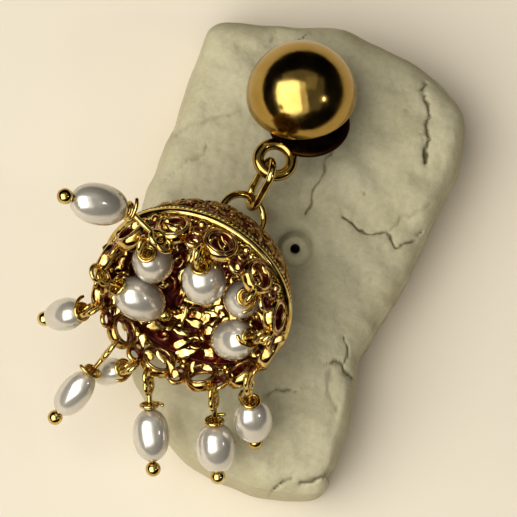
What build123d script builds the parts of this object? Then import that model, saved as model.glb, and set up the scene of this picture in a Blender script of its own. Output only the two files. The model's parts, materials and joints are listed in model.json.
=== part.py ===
from build123d import *

import os
from math import cos, radians, sin, sqrt

# A jhumka earring lying on a small clay display slab, in millimetres.
# Origin: centre of the slab's flat underside. +Z out of the slab, +Y towards its stud end.

# ---- clay slab -------------------------------------------------------------------------
SLAB_THICK = 10.0
SLAB_EDGE_ROUND = 2.4           # soft hand-pressed upper edge
SLAB_FOOT_ROUND = 0.8
# corner of the outline: x, y, radius that rounds it
SLAB_CORNERS = [
    (-7.6, 23.4, 2.0),
    (4.9, 22.6, 12.0),
    (12.4, 19.0, 5.0),
    (16.6, 14.4, 4.0),
    (15.5, 8.6, 5.0),
    (10.3, -2.4, 12.0),
    (6.2, -8.8, 5.0),
    (5.2, -15.3, 8.0),
    (3.0, -21.3, 2.2),
    (-3.2, -21.0, 8.0),
    (-10.1, -17.9, 7.0),
    (-15.1, -9.2, 6.0),
    (-15.1, 2.0, 9.0),
]
HOLE_X, HOLE_Y = 0.1, 1.1       # spare post hole
HOLE_RADIUS = 0.45
HOLE_FLOOR = 3.0                # height of the blind end
DIMPLE_RADIUS = 2.3             # shallow dish pressed round the hole
DIMPLE_DEPTH = 0.5

# ---- stud ------------------------------------------------------------------------------
DOME_RADIUS = 5.0
DOME_AT = (0.4, 14.2, 14.2)     # centre of the dome's flat back
STUD_AZIMUTH, STUD_ELEVATION = 102.0, 65.0      # the way the dome looks
NECK_RADIUS = 3.4
NECK_LENGTH = 1.9
DISC_RADIUS = 3.7
DISC_SHIFT = (0.6, -1.7)        # the disc sits low, to carry the loop ring
DISC_THICK = 0.5
POST_RADIUS = 0.4
POST_LENGTH = 10.0
POST_CLEARANCE = 0.08           # clay stands this far off the post

# ---- loop ring under the stud, and the chain -------------------------------------------
RING_AT = (-2.0, 8.25, 14.1)
RING_AZIMUTH, RING_ELEVATION = 60.0, 80.0       # normal of the ring's plane
RING_RADIUS = 1.52
RING_WIRE = 0.52
LINK_WIRE = 0.35
LINK_PLAY = 0.06
RING_PLAY = 0.25
UPPER_LINK_HALF_WIDTH = 1.35
UPPER_LINK_ROLL = 26.0          # lean of the upper link's plane out of the level
LINKS_MEET_AT = (-3.9, 5.0, 12.6)   # where the lower link's wire lies in the upper link

# ---- bell ------------------------------------------------------------------------------
BELL_AT = (-9.9, -6.0, 19.5)    # centre of the tier of wire rings
BELL_AZIMUTH, BELL_ELEVATION = 61.5, -35.5      # from the tier towards the apex
FIRST_RING_ANGLE = 118.0        # of ring 0 round the bell's axis
RINGS = 12
DOME_SHELL_RADIUS = 8.7
SHELL_THICK = 0.6
SHELL_CENTRE = 1.0              # sphere centre, along the axis from the tier
GIRDLE_HEIGHT = 1.9
GIRDLE_RADIUS = 8.5
GIRDLE_WIRE = 0.35
TIER_RADIUS = 8.1               # middle of the strip that each ring is bent from
BIG_RING_RADIUS = 1.65
BIG_RING_WALL = 0.3
STRIP_WIDTH = 1.0
SMALL_RING_RADIUS = 0.62
SMALL_RING_WIRE = 0.22
SMALL_RING_BELOW = 0.9
GRANULE_RADIUS = 0.55
GRANULE_ABOVE = 1.15
CROWN_RADIUS = 2.7
CROWN_GRANULES = 10
EYE_RADIUS = 0.8
EYE_WIRE = 0.3
EYE_ABOVE_SHELL = 0.65
HANGER_RADIUS = 0.7             # little loops that the head pins hang from
HANGER_WIRE = 0.22
HANGER_BELOW = 2.2

# ---- pearl drops -----------------------------------------------------------------------
PIN_WIRE = 0.28
PIN_EYE_RADIUS = 0.65
PIN_BALL_RADIUS = 0.7
PIN_EYE_HEIGHT = HANGER_RADIUS - HANGER_WIRE - PIN_WIRE - LINK_PLAY + PIN_EYE_RADIUS
COIL_HEIGHT = 0.45
# turn of the flat coil: radius, wire, height above the pearl
COIL_TURNS = [(0.46, 0.22, 0.31), (0.72, 0.2, 0.16)]
PEARL_BORE = 0.33
# ring place (0 to 12), azimuth, elevation, bare shank, pearl length, pearl width
DROPS = [
    (0.0, 137, 11, 2.6, 5.3, 3.6),
    (11.5, -30, -77, 0.8, 4.8, 3.6),
    (0.75, -70, -68, 0.3, 4.6, 3.8),
    (2.1, 119, -81, 0.9, 4.6, 3.4),
    (3.1, 171, -62, 1.1, 4.8, 3.6),
    (4.5, -78, -57, 1.2, 4.6, 3.5),
    (5.5, -85, -36, 1.2, 4.6, 3.6),
    (7.0, -86, -22, 1.0, 4.8, 3.3),
    (7.4, 178, -61, 0.1, 4.4, 2.6),
    (8.0, -132, -35, 1.6, 5.0, 2.9),
    (9.0, 179, -53, 0.1, 4.6, 3.0),
    (10.0, -23, -42, 1.1, 5.0, 3.9),
]
SHANK_BENDS = {1: -41}          # drop number: bend of its shank, about the axis of its hanger loop

ABOVE = (Align.CENTER, Align.CENTER, Align.MIN)
BELOW = (Align.CENTER, Align.CENTER, Align.MAX)


def heading(azimuth, elevation):
    """Unit vector from azimuth, counted from +X towards +Y, and elevation, both in degrees."""
    level = cos(radians(elevation))
    return Vector(level * cos(radians(azimuth)), level * sin(radians(azimuth)), sin(radians(elevation)))


def hoop(centre, axis, radius, wire):
    """Round wire ring whose plane is square to axis."""
    return Plane(origin=centre, z_dir=axis) * Torus(radius, wire)


STUD_AXIS = heading(STUD_AZIMUTH, STUD_ELEVATION)
DISC_BACK = NECK_LENGTH + DISC_THICK
BELL_AXIS = heading(BELL_AZIMUTH, BELL_ELEVATION)
RIM_WAY = BELL_AXIS * -1
BELL_LEVEL = Vector(0, 0, 1).cross(RIM_WAY).normalized()
BELL_CROSS = RIM_WAY.cross(BELL_LEVEL)
SHELL_TOP = SHELL_CENTRE + DOME_SHELL_RADIUS


def outward(place):
    """Unit vector from the bell's axis to a place round it, counted in rings."""
    angle = radians(FIRST_RING_ANGLE - 360.0 / RINGS * place)
    return BELL_LEVEL * cos(angle) + BELL_CROSS * sin(angle)


def on_bell(place, radius, height):
    """Point at a place round the bell, a radius from its axis and a height from tier to apex."""
    return Vector(*BELL_AT) + BELL_AXIS * height + outward(place) * radius


# The chain runs from the stud's ring by the upper and the lower link to the bell's eye. Each pair
# of wires that meet is square to each other, or nearly, so that one passes through the other.
EYE_AT = on_bell(0, 0, SHELL_TOP + EYE_ABOVE_SHELL)
MEET = Vector(*LINKS_MEET_AT)
RING_AXIS = heading(RING_AZIMUTH, RING_ELEVATION)
RING_PULL = MEET - Vector(*RING_AT)
RING_SIDE = Vector(*RING_AT) + (RING_PULL - RING_AXIS * RING_PULL.dot(RING_AXIS)).normalized() * RING_RADIUS
UPPER_ALONG = (RING_SIDE - MEET).normalized()
UPPER_LEVEL = UPPER_ALONG.cross(Vector(0, 0, 1)).normalized()
UPPER_NORMAL = UPPER_LEVEL.rotate(Axis((0, 0, 0), UPPER_ALONG), UPPER_LINK_ROLL)
LOWER_ALONG = (MEET - EYE_AT).normalized()
LOWER_NORMAL = LOWER_ALONG.cross(UPPER_NORMAL).normalized()
LOWER_TANGENT = LOWER_NORMAL.cross(LOWER_ALONG)


def clay_slab():
    """Rounded slab with a blind spare hole in a shallow dish, and the slanted hole of the post."""
    corners = [(x, y) for x, y, _ in SLAB_CORNERS]
    radii = [radius for _, _, radius in SLAB_CORNERS]
    slab = extrude(make_face(FilletPolyline(*corners, radius=radii, close=True)), SLAB_THICK)
    slab = fillet(slab.faces().sort_by(Axis.Z)[-1].edges(), SLAB_EDGE_ROUND)
    slab = fillet(slab.faces().sort_by(Axis.Z)[0].edges(), SLAB_FOOT_ROUND)
    dish_radius = (DIMPLE_RADIUS**2 + DIMPLE_DEPTH**2) / (2 * DIMPLE_DEPTH)
    slab -= Pos(HOLE_X, HOLE_Y, SLAB_THICK - DIMPLE_DEPTH + dish_radius) * Sphere(dish_radius)
    bore = Cylinder(HOLE_RADIUS, SLAB_THICK, align=(Align.CENTER, Align.CENTER, Align.MIN))
    slab -= Pos(HOLE_X, HOLE_Y, HOLE_FLOOR) * bore
    post_end = DISC_BACK + POST_LENGTH + POST_CLEARANCE
    sleeve = Cylinder(POST_RADIUS + POST_CLEARANCE, post_end, align=BELOW)
    return slab - Plane(origin=DOME_AT, z_dir=STUD_AXIS) * sleeve


def ball_stud():
    """Half ball on a neck, a back disc and a post, with the loop ring soldered to the disc's edge."""
    dome = split(Sphere(DOME_RADIUS), bisect_by=Plane.XY, keep=Keep.TOP)
    neck = Cylinder(NECK_RADIUS, NECK_LENGTH, align=BELOW)
    disc = Pos(*DISC_SHIFT, -NECK_LENGTH) * Cylinder(DISC_RADIUS, DISC_THICK, align=BELOW)
    post = Pos(0, 0, -DISC_BACK) * Cylinder(POST_RADIUS, POST_LENGTH, align=BELOW)
    stud = Plane(origin=DOME_AT, x_dir=(1, 0, 0), z_dir=STUD_AXIS) * (dome + neck + disc + post)
    return stud + hoop(RING_AT, RING_AXIS, RING_RADIUS, RING_WIRE)


def upper_link():
    """Oval link, two straight sides joined by half rings, that holds the ring and the lower link."""
    top = RING_SIDE + UPPER_ALONG * (RING_WIRE + LINK_WIRE + RING_PLAY)
    bottom = MEET - UPPER_ALONG * (2 * LINK_WIRE + LINK_PLAY)
    side = (top - bottom).length / 2 - UPPER_LINK_HALF_WIDTH
    bend = Pos(side, 0, 0) * split(Torus(UPPER_LINK_HALF_WIDTH, LINK_WIRE), bisect_by=Plane.YZ, keep=Keep.TOP)
    straight = Pos(0, UPPER_LINK_HALF_WIDTH, 0) * Rot(0, 90, 0) * Cylinder(LINK_WIRE, 2 * side)
    half = bend + straight
    link = half + Rot(0, 0, 180) * half
    return Plane(origin=(top + bottom) * 0.5, x_dir=UPPER_ALONG, z_dir=UPPER_NORMAL) * link


def lower_link():
    """Round link that holds the upper link and the bell's eye."""
    return hoop((MEET + EYE_AT) * 0.5, LOWER_NORMAL, (MEET - EYE_AT).length / 2, LINK_WIRE)


def ring_tier():
    """Strip rings side by side round the rim, with a small ring and a granule in each gap."""
    outer = Cylinder(BIG_RING_RADIUS, STRIP_WIDTH)
    big_ring = outer - Cylinder(BIG_RING_RADIUS - BIG_RING_WALL, 2 * STRIP_WIDTH)
    for ring in range(RINGS):
        gap = ring + 0.5
        yield Plane(origin=on_bell(ring, TIER_RADIUS, 0), z_dir=outward(ring)) * big_ring
        small_at = on_bell(gap, TIER_RADIUS, -SMALL_RING_BELOW)
        yield hoop(small_at, outward(gap), SMALL_RING_RADIUS, SMALL_RING_WIRE)
        yield Pos(*on_bell(gap, TIER_RADIUS, GRANULE_ABOVE)) * Sphere(GRANULE_RADIUS)


def crown():
    """Granules round the top of the shell, and the eye that the lower link goes through."""
    height = SHELL_CENTRE + sqrt(DOME_SHELL_RADIUS**2 - CROWN_RADIUS**2)
    for granule in range(CROWN_GRANULES):
        place = granule * RINGS / CROWN_GRANULES
        yield Pos(*on_bell(place, CROWN_RADIUS, height)) * Sphere(GRANULE_RADIUS)
    yield hoop(EYE_AT, LOWER_TANGENT, EYE_RADIUS, EYE_WIRE)


def drop_frame(place, azimuth, elevation):
    """Plane of a drop: origin inside its hanger loop, Z down the head pin, X the loop's axis."""
    down_pin = heading(azimuth, elevation)
    middle = on_bell(place, TIER_RADIUS, -HANGER_BELOW)
    return Plane(origin=middle, x_dir=RIM_WAY.cross(down_pin), z_dir=down_pin)


def jhumka_bell():
    """Domed shell, girdle, ring tier, crown and hanger loops, all soldered into one piece."""
    shell = Sphere(DOME_SHELL_RADIUS) - Sphere(DOME_SHELL_RADIUS - SHELL_THICK)
    shell = split(Pos(0, 0, SHELL_CENTRE) * shell, bisect_by=Plane.XY.offset(GIRDLE_HEIGHT), keep=Keep.TOP)
    girdle = Pos(0, 0, GIRDLE_HEIGHT) * Torus(GIRDLE_RADIUS, GIRDLE_WIRE)
    bell = Plane(origin=BELL_AT, x_dir=outward(0), z_dir=BELL_AXIS) * (shell + girdle)
    for place, azimuth, elevation, *_ in DROPS:
        frame = drop_frame(place, azimuth, elevation)
        bell += hoop(frame.origin, frame.x_dir, HANGER_RADIUS, HANGER_WIRE)
    for piece in [*ring_tier(), *crown()]:
        bell += piece
    return bell


def pearl_seat(shank, bend):
    """Where a drop's bare shank ends and its coil begins, in the drop's own plane."""
    return Pos(0, 0, PIN_EYE_HEIGHT + PIN_EYE_RADIUS + shank) * Rot(bend, 0, 0)


def head_pin(shank, pearl_length, bend):
    """Ball-ended wire with a flat coil over its pearl and an eye; the hanger's middle is the origin."""
    pearl_end = COIL_HEIGHT + pearl_length
    lower = Cylinder(PIN_WIRE, pearl_end + PIN_BALL_RADIUS, align=ABOVE)
    lower += Pos(0, 0, pearl_end + PIN_BALL_RADIUS) * Sphere(PIN_BALL_RADIUS)
    for radius, wire, rise in COIL_TURNS:
        lower += Pos(0, 0, COIL_HEIGHT - rise) * Torus(radius, wire)
    pin = Pos(0, 0, PIN_EYE_HEIGHT) * Rot(90, 0, 0) * Torus(PIN_EYE_RADIUS, PIN_WIRE)
    pin += Pos(0, 0, PIN_EYE_HEIGHT + PIN_EYE_RADIUS) * Cylinder(PIN_WIRE, shank, align=ABOVE)
    if bend:
        lower += Sphere(PIN_WIRE)
    return pin + pearl_seat(shank, bend) * lower


def pearl(shank, length, width, bend):
    """Oval pearl drilled end to end, where it sits on its head pin."""
    half = Ellipse(width / 2, length / 2) & Pos(width / 2, 0) * Rectangle(width, length)
    oval = revolve(Plane.XZ * half, axis=Axis.Z) - Cylinder(PEARL_BORE, 2 * length)
    return pearl_seat(shank, bend) * Pos(0, 0, COIL_HEIGHT + length / 2) * oval


def write(name, shape):
    export_step(shape, f"parts/{name}.step")


os.makedirs("parts", exist_ok=True)
write("clay_slab", clay_slab())
write("ball_stud", ball_stud())
write("chain_link_upper", upper_link())
write("chain_link_lower", lower_link())
write("jhumka_bell", jhumka_bell())
for number, (place, azimuth, elevation, shank, length, width) in enumerate(DROPS, start=1):
    frame = drop_frame(place, azimuth, elevation)
    bend = SHANK_BENDS.get(number, 0)
    write(f"head_pin_{number:02d}", frame * head_pin(shank, length, bend))
    write(f"pearl_{number:02d}", frame * pearl(shank, length, width, bend))
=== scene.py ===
import json

import bpy
import numpy as np
from mathutils import Matrix, Vector

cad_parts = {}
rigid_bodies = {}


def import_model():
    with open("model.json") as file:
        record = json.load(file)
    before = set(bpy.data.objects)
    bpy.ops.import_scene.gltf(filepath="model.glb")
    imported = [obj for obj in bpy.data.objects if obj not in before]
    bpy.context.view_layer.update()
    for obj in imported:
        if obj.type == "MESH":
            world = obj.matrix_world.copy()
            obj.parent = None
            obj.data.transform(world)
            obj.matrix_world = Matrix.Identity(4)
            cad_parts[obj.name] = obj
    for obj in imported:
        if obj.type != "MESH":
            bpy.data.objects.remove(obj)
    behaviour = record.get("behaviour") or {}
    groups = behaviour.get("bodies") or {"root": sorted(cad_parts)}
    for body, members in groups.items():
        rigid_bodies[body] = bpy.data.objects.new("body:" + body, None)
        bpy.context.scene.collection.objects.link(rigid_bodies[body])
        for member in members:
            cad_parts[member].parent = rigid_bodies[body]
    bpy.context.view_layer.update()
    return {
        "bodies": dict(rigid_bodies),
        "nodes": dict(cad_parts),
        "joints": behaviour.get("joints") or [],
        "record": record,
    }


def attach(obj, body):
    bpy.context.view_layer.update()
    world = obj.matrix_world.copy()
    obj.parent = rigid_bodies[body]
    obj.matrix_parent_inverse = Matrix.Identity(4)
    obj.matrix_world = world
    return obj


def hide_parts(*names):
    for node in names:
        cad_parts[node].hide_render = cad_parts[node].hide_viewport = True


# A jhumka earring lying on a clay display slab. Lengths below are in millimetres and become metres
# when a mesh is made. +Z points out of the slab and +Y towards the stud, as in the frame.

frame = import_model()
MM = 0.001
TURN = 2 * np.pi
RIGHT, AHEAD, UP = np.eye(3)


# ---- vectors ----


def unit(vectors):
    """Each vector divided by its length."""
    return vectors / np.linalg.norm(vectors, axis=-1, keepdims=True)


def square_to(axis, vectors):
    """Each vector less its part along the axis, divided by its length."""
    return unit(vectors - axis * (vectors * axis).sum(-1, keepdims=True))


def heading(azimuth, elevation):
    """Unit vector from azimuth, counted from +X towards +Y, and elevation, in degrees."""
    a, e = np.radians(azimuth), np.radians(elevation)
    return np.array([np.cos(e) * np.cos(a), np.cos(e) * np.sin(a), np.sin(e)])


def axes(z, near):
    """Unit axes x, y and z as rows, with x as near as it can be to near."""
    z = unit(z)
    x = square_to(z, near)
    return np.stack([x, np.cross(z, x), z])


def steps_round(count):
    """Angles of that many even steps round one turn."""
    return np.arange(count) * TURN / count


def held(values):
    """Values held between 0 and 1."""
    return np.clip(values, 0, 1)


def about_z(r, u, z=0.0):
    """Points at radius r, angle u and height z: (r cos u, r sin u, z)."""
    return np.stack([r * np.cos(u), r * np.sin(u), z + 0 * u], -1)


# ---- meshes ----
# A part is (points, faces). A face is four point numbers, and a triangle ends in -1.


def sheet_faces(rows, columns, wrap_rows=False):
    """Faces of a grid of points whose columns wrap round, and whose rows may."""
    r, c = np.meshgrid(np.arange(rows - (not wrap_rows)), np.arange(columns), indexing="ij")
    r2, c2 = (r + 1) % rows, (c + 1) % columns
    corners = [r * columns + c, r * columns + c2, r2 * columns + c2, r2 * columns + c]
    return np.stack(corners, -1).reshape(-1, 4)


def fan(rim, pole, flip):
    """Triangles from a closed rim of point numbers to one pole."""
    after = np.roll(rim, -1)
    first, second = (after, rim) if flip else (rim, after)
    return np.stack([first, second, np.full_like(rim, pole), np.full_like(rim, -1)], -1)


def capped(grid):
    """Part from a grid whose columns wrap and whose first and last rows close on a pole each."""
    rows, columns = grid.shape[:2]
    points = np.concatenate([grid.reshape(-1, 3), grid[:1].mean(1), grid[-1:].mean(1)])
    first = np.arange(columns)
    faces = [sheet_faces(rows, columns), fan(first, rows * columns, True),
             fan(first + (rows - 1) * columns, rows * columns + 1, False)]
    return points, np.concatenate(faces)


def wrapped(grid):
    """Part from a grid whose rows and columns both wrap."""
    rows, columns = grid.shape[:2]
    return grid.reshape(-1, 3), sheet_faces(rows, columns, wrap_rows=True)


def flipped(part):
    """The same part with its faces turned inside out."""
    points, faces = part
    triangle = faces[:, 3] < 0
    turned = faces[:, ::-1].copy()
    turned[triangle] = faces[triangle][:, [1, 0, 2, 3]]
    return points, turned


def across(path, reference, closed):
    """Unit vectors side and lift at each point of a path, square to it, lift near the reference."""
    if closed:
        along = unit(np.roll(path, -1, 0) - np.roll(path, 1, 0))
    else:
        along = unit(np.gradient(path, axis=0))
    side = unit(np.cross(along, reference))
    return side, np.cross(side, along)


# rounded end of an open wire: how far out its two extra rims lie and how wide they are, in radii
END_REACH = np.array([0.95, 0.7])
END_WIDTH = np.array([0.3, 0.72])


def tube(path, radius, sides, reference, closed=False):
    """Round wire: point(u, v) = path(u) + radius * (cos v * side(u) + sin v * lift(u)). An open
    path gets rounded ends."""
    width = np.ones(len(path))
    if not closed:
        start, end = unit(path[0] - path[1]), unit(path[-1] - path[-2])
        path = np.concatenate([
            path[0] + start * END_REACH[:, None] * radius, path,
            path[-1] + end * END_REACH[::-1, None] * radius])
        width = np.concatenate([END_WIDTH, width, END_WIDTH[::-1]])
    side, lift = across(path, reference, closed)
    v = -steps_round(sides)
    rim = np.cos(v)[:, None] * side[:, None] + np.sin(v)[:, None] * lift[:, None]
    grid = path[:, None] + (radius * width)[:, None, None] * rim
    return wrapped(grid) if closed else capped(grid)


def ring(radius, wire, around, sides):
    """Wire ring in the XY plane: path(u) = radius * (cos u, sin u, 0)."""
    return tube(about_z(radius, steps_round(around)), wire, sides, UP, closed=True)


def turned_profile(profile, around, closed=False):
    """Lathe shape: point(t, u) = (r(t) cos u, r(t) sin u, z(t)). An open profile runs down from
    pole to pole."""
    grid = about_z(profile[:, :1], steps_round(around), profile[:, 1:])
    return wrapped(grid) if closed else flipped(capped(grid))


def ball(radius, rows=6, around=8):
    """Small ball: point(t, u) = radius * (sin t cos u, sin t sin u, cos t)."""
    t = np.linspace(0, np.pi, rows + 2)[1:-1]
    return turned_profile(np.stack([radius * np.sin(t), radius * np.cos(t)], -1), around)


def placed(part, origin, frames):
    """Copies of a part, one for each origin: point = origin + x * X + y * Y + z * Z of its axes."""
    points, faces = part
    origin = np.atleast_2d(origin)
    frames = np.broadcast_to(frames, (len(origin), 3, 3))
    copies = origin[:, None] + np.einsum("nj,kjc->knc", points, frames)
    shift = (np.arange(len(origin)) * len(points))[:, None, None]
    numbers = np.where(faces < 0, -1, faces + shift)
    return copies.reshape(-1, 3), numbers.reshape(-1, 4)


def joined(parts):
    """One part from many."""
    starts = np.cumsum([0] + [len(points) for points, _ in parts[:-1]])
    faces = [np.where(faces < 0, -1, faces + start) for (_, faces), start in zip(parts, starts)]
    return np.concatenate([points for points, _ in parts]), np.concatenate(faces)


def mesh_object(name, part, material, **fields):
    """Smooth mesh object of a part. Its material reads its fields, each a number at every point."""
    points, faces = part
    corners = (faces >= 0).sum(1)
    starts = np.concatenate([[0], np.cumsum(corners)[:-1]])
    mesh = bpy.data.meshes.new(name)
    mesh.vertices.add(len(points))
    mesh.vertices.foreach_set("co", (points * MM).astype(np.float32).ravel())
    mesh.loops.add(int(corners.sum()))
    mesh.loops.foreach_set("vertex_index", faces[faces >= 0].astype(np.int32))
    mesh.polygons.add(len(faces))
    mesh.polygons.foreach_set("loop_start", starts.astype(np.int32))
    mesh.polygons.foreach_set("use_smooth", np.ones(len(faces), bool))
    mesh.update(calc_edges=True)
    mesh.validate()
    for field, values in fields.items():
        attribute = mesh.attributes.new(field, "FLOAT", "POINT")
        attribute.data.foreach_set("value", values.astype(np.float32))
    mesh.materials.append(material)
    made = bpy.data.objects.new(name, mesh)
    bpy.context.scene.collection.objects.link(made)
    return made


def piece(name, part, material, slot, node, **fields):
    """Mesh object of a part, riding on the root in place of its CAD node."""
    made = mesh_object(name, part, material, **fields)
    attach(made, "root")
    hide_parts(node)


# ---- materials ----


def colour(text):
    """Linear RGBA from an sRGB hex value."""
    srgb = np.array([int(text[i:i + 2], 16) for i in (1, 3, 5)]) / 255
    linear = np.where(srgb <= 0.04045, srgb / 12.92, ((srgb + 0.055) / 1.055) ** 2.4)
    return (*linear, 1.0)


def plug(tree, node, **given):
    """Set a node's settings, set its inputs to values, or link them from outputs. In an input's
    name _ stands for a space, and i2 is the input numbered 2."""
    for name, value in given.items():
        if hasattr(node, name):
            setattr(node, name, value)
            continue
        number = name.lstrip("i")
        socket = node.inputs[int(number) if number.isdigit() else name.replace("_", " ")]
        if isinstance(value, bpy.types.NodeSocket):
            tree.links.new(value, socket)
        else:
            socket.default_value = value


def add(tree, kind, stops=(), output=0, **given):
    """Add a node with colour stops (place, sRGB hex), settings and inputs; returns an output."""
    node = tree.nodes.new("ShaderNode" + kind)
    for index, (place, text) in enumerate(stops):
        elements = node.color_ramp.elements
        stop = elements[index] if index < 2 else elements.new(place)
        stop.position, stop.color = place, colour(text)
    plug(tree, node, **given)
    return node.outputs[output]


def new_material(name, **inputs):
    """Material with a Principled shader; returns it, its tree, shader and Object coordinates."""
    made = bpy.data.materials.new(name)
    made.use_nodes = True
    tree = made.node_tree
    shader = tree.nodes["Principled BSDF"]
    plug(tree, shader, **inputs)
    return made, tree, shader, add(tree, "TexCoord", output="Object")


# A noise scale of 1 / (size_mm * MM) gives features about that many millimetres across.


def mottled(tree, where, wide_mm, detail, stops, crumble=0.5):
    """Colour in soft blotches so wide, running through the stops (place, sRGB hex)."""
    scale = 1 / (wide_mm * MM)
    blotch = add(tree, "TexNoise", Vector=where, Scale=scale, Detail=detail, Roughness=crumble)
    return add(tree, "ValToRGB", stops=stops, Fac=blotch)


def dented(tree, where, wide_mm, deep_mm, detail, crumble=0.5, **under):
    """Normal of a face with soft dents so wide and so deep, over a Normal under it."""
    scale = 1 / (wide_mm * MM)
    height = add(tree, "TexNoise", Vector=where, Scale=scale, Detail=detail, Roughness=crumble)
    return add(tree, "Bump", Height=height, Strength=1.0, Distance=deep_mm * MM, **under)


# how much of the metal's mirror shows through the antique wash, a dark red coat in the hollows that
# is also painted shade, the deep red of gold lit by gold
WASH_AND_SHADE_METAL = 0.35


def gilt(name, tones, roughness, patch_mm, dent_mm, deep_mm, wash_and_shade=None):
    """Gold-plated brass. Patches of redder and paler plating patch_mm wide vary its colour and
    roughness, and dents dent_mm wide break up what it mirrors. An antique wash, where there is one,
    stays where the mesh's proud field is low, and is also painted shade: the deep red of gold lit
    by gold in the hollows."""
    made, tree, shader, where = new_material(name, Metallic=1.0)
    patch = add(tree, "TexNoise", Vector=where, Scale=1 / (patch_mm * MM), Detail=3.0)
    tint = add(tree, "ValToRGB", stops=zip((0.3, 0.5, 0.72), tones), Fac=patch)
    if wash_and_shade:
        proud = add(tree, "Attribute", attribute_name="proud", output="Fac")
        worn = add(
            tree, "Math", operation="MULTIPLY_ADD", use_clamp=True, i0=patch, i1=1.2, i2=-0.6)
        shown = add(tree, "Math", operation="ADD", use_clamp=True, i0=proud, i1=worn)
        tint = add(tree, "MixRGB", Fac=shown, Color1=colour(wash_and_shade), Color2=tint)
        metal = add(tree, "MapRange", Value=shown, To_Min=WASH_AND_SHADE_METAL, To_Max=1.0)
        plug(tree, shader, Metallic=metal)
    rough = add(
        tree, "MapRange", Value=patch, From_Min=0.3, From_Max=0.7, To_Min=roughness * 0.75,
        To_Max=roughness * 1.35)
    dents = dented(tree, where, dent_mm, deep_mm, 2.0)
    plug(tree, shader, Base_Color=tint, Roughness=rough, Normal=dents)
    return made


# Polished gilt brass, buffed to a mirror: sharp reflections, barely broken by soft dents.
polished_gilt = gilt(
    "polished_gilt_brass", ("#A88B4C", "#B09454", "#B89D5E"), 0.16,
    patch_mm=2.0, dent_mm=1.4, deep_mm=0.024)
# Back of the stud: dull dark brown brass that mirrors almost nothing, painted near black as the
# shade under the half ball.
painted_shade_brass = gilt(
    "painted_shade_brass_back", ("#2A1A0A", "#3A2610", "#4A3214"), 0.42,
    patch_mm=1.2, dent_mm=0.6, deep_mm=0.03)
# Drawn and tumbled gilt wire: bright, with fine ripples from the drawing die.
drawn_gilt = gilt(
    "drawn_gilt_wire", ("#B49052", "#D0B56E", "#E8D696"), 0.15,
    patch_mm=0.9, dent_mm=0.35, deep_mm=0.006)
# Wire outside the dome, rougher and browner than within: brown gold, with red-brown wash between
# the scrolls that is also painted shade there.
dulled_gilt = gilt(
    "dulled_gilt_wire", ("#764820", "#A68042", "#C8A65E"), 0.26,
    patch_mm=0.8, dent_mm=0.4, deep_mm=0.01, wash_and_shade="#4E160A")
# Soldered wire of the filigree: pale gold where it is rubbed, with red-brown wash in its hollows
# that is also painted shade there.
soldered_gilt = gilt(
    "soldered_gilt_filigree", ("#8C5A2C", "#D0AF6A", "#F0DEA4"), 0.15,
    patch_mm=0.6, dent_mm=0.3, deep_mm=0.008, wash_and_shade="#5C120B")


def antiqued_and_shaded_sheet():
    """Stamped sheet left with its antique wash: deep red-brown in the hollows, which is also
    painted shade, worn back to pale gold on the high spots. The mesh carries how far each point
    stands proud."""
    made, tree, shader, where = new_material("antiqued_shaded_gilt_sheet", Metallic=1.0)
    proud = add(tree, "Attribute", attribute_name="proud", output="Fac")
    wear = add(tree, "TexNoise", Vector=where, Scale=1 / (0.5 * MM), Detail=2.0)
    worn = add(tree, "Math", operation="MULTIPLY_ADD", i0=wear, i1=0.7, i2=-0.35)
    height = add(tree, "Math", operation="ADD", use_clamp=True, i0=proud, i1=worn)
    # red-brown wash, also painted shade, in the hollows; pale gold on the rubbed high spots
    stops = [(0.4, "#580F08"), (0.75, "#8E3A1A"), (1.0, "#F0DE9E")]
    tint = add(tree, "ValToRGB", stops=stops, Fac=height)
    metal = add(
        tree, "MapRange", Value=height, From_Min=0.4, From_Max=0.9, To_Min=WASH_AND_SHADE_METAL, To_Max=1.0)
    rough = add(
        tree, "MapRange", Value=height, From_Min=0.35, From_Max=0.8, To_Min=0.4, To_Max=0.16)
    dents = dented(tree, where, 0.7, 0.05, 1.0)
    plug(tree, shader, Base_Color=tint, Metallic=metal, Roughness=rough, Normal=dents)
    return made


def pearl_nacre():
    """Cultured freshwater pearl, tumbled: grey-white nacre, softly clouded, that mirrors softly."""
    made, tree, shader, where = new_material(
        "freshwater_pearl_nacre", Metallic=0.5, Roughness=0.22, Coat_Weight=1.0,
        Coat_Roughness=0.03, Coat_IOR=1.66)
    cloud = mottled(tree, where, 2.4, 2.0, [(0.3, "#C6C0B1"), (0.5, "#CEC7BA"), (0.75, "#D6D0C3")])
    plug(tree, shader, Base_Color=cloud, Normal=dented(tree, where, 0.9, 0.03, 2.0))
    return made


def cracked_clay():
    """Air-dried clay smoothed by a wet finger: matte cream, mottled in soft blotches and fine
    grains, with painted shade darkening its cracks and marks. The mesh carries that shade at each
    point."""
    made, tree, shader, where = new_material(
        "air_dried_clay", Roughness=0.78, Specular_IOR_Level=0.3)
    blotches = [(0.32, "#BDB594"), (0.5, "#C6BE9F"), (0.7, "#CDC5A8")]
    grains = [(0.3, "#B3AB8D"), (0.5, "#C6BE9F"), (0.72, "#D2CBAE")]
    base = mottled(tree, where, 7.0, 4.0, blotches, crumble=0.6)
    speck = mottled(tree, where, 0.5, 4.0, grains, crumble=0.65)
    body = add(tree, "MixRGB", Fac=0.4, Color1=base, Color2=speck)
    # Painted shade: the clay darkens towards #4C462C in its cracks, in the press mark's groove and
    # down the spare hole.
    depth = add(tree, "Attribute", attribute_name="press", output="Fac")
    shaded = add(tree, "MixRGB", Fac=depth, Color1=body, Color2=colour("#4C462C"))
    pores = dented(tree, where, 0.28, 0.03, 5.0, crumble=0.7)
    plug(tree, shader, Base_Color=shaded, Normal=dented(tree, where, 2.2, 0.22, 3.0, Normal=pores))
    return made


# ---- clay slab ----

SLAB_THICK = 10.0
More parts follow.
